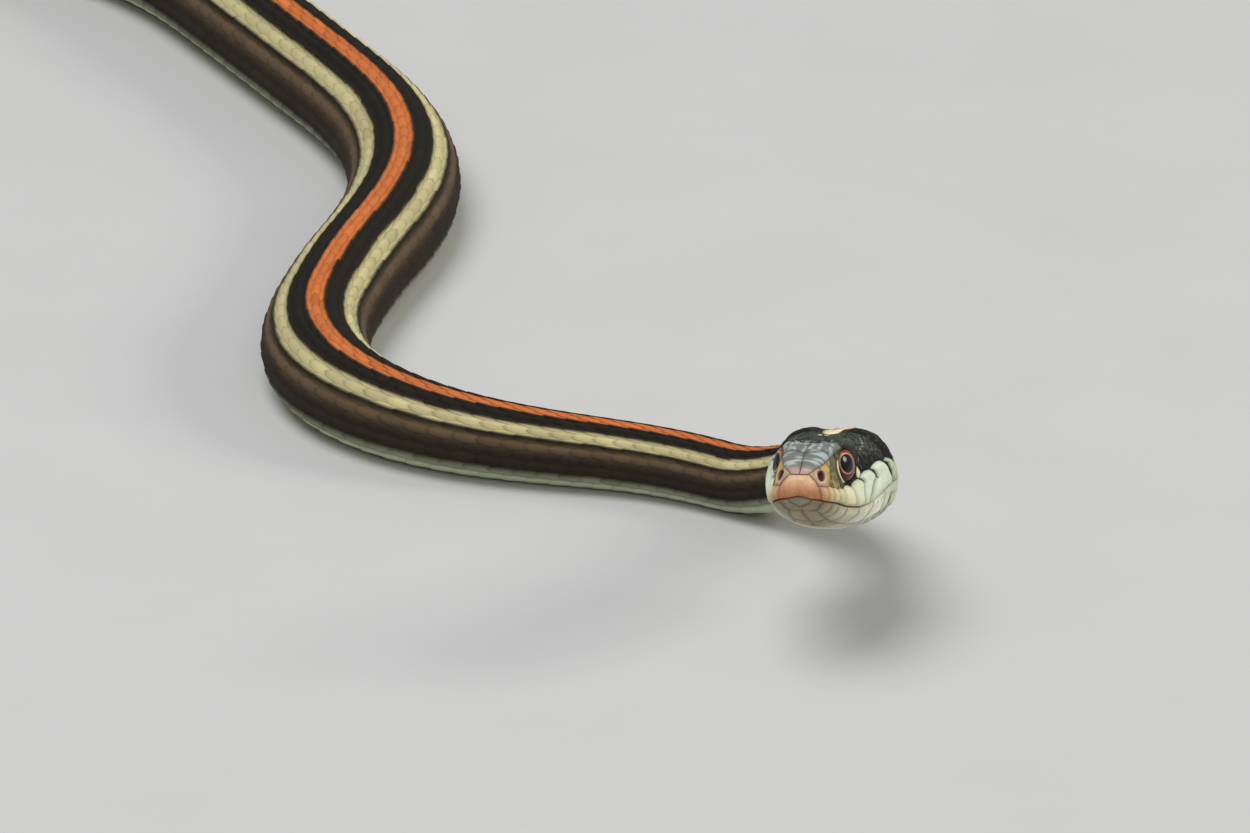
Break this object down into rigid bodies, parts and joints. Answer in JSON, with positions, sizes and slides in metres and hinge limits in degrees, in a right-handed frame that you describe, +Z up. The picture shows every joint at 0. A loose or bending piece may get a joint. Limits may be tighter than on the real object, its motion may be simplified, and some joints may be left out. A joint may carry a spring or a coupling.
{
  "type": "western ribbon snake (garter snake)",
  "caption": "Slender striped garter snake lying in loose bends with its head lifted, a still life-size model.",
  "frame": {"origin": "centre of the bounding box on the floor, under the belly", "axes": "+Z up from the floor; +Y the way that the head looks away from, back along the body; +X to the right of a viewer who faces the head"},
  "size_m": [0.2028, 0.2436, 0.02],
  "materials": {
    "crown_shields": "smooth horny shields, black-olive above and pale green on the lips",
    "chin_shields": "smooth pale green-grey shields",
    "eye": "wet, reddish brown iris with a black round pupil",
    "body_scales": "keeled scales, black-brown with one orange and two cream stripes"
  },
  "bodies": {
    "root": {"head": "crown_shields", "lower_jaw": "chin_shields", "eye_right": "eye", "eye_left": "eye", "neck_1": "body_scales", "neck_2": "body_scales", "torso_1": "body_scales", "torso_2": "body_scales", "torso_3": "body_scales", "torso_4": "body_scales", "torso_5": "body_scales", "torso_6": "body_scales", "torso_7": "body_scales", "torso_8": "body_scales", "torso_9": "body_scales", "torso_10": "body_scales", "torso_11": "body_scales", "torso_12": "body_scales", "torso_13": "body_scales", "torso_14": "body_scales", "torso_15": "body_scales", "torso_16": "body_scales", "tail_1": "body_scales", "tail_2": "body_scales", "tail_3": "body_scales", "tail_4": "body_scales", "tail_5": "body_scales", "tail_6": "body_scales"}
  },
  "joints": []
}
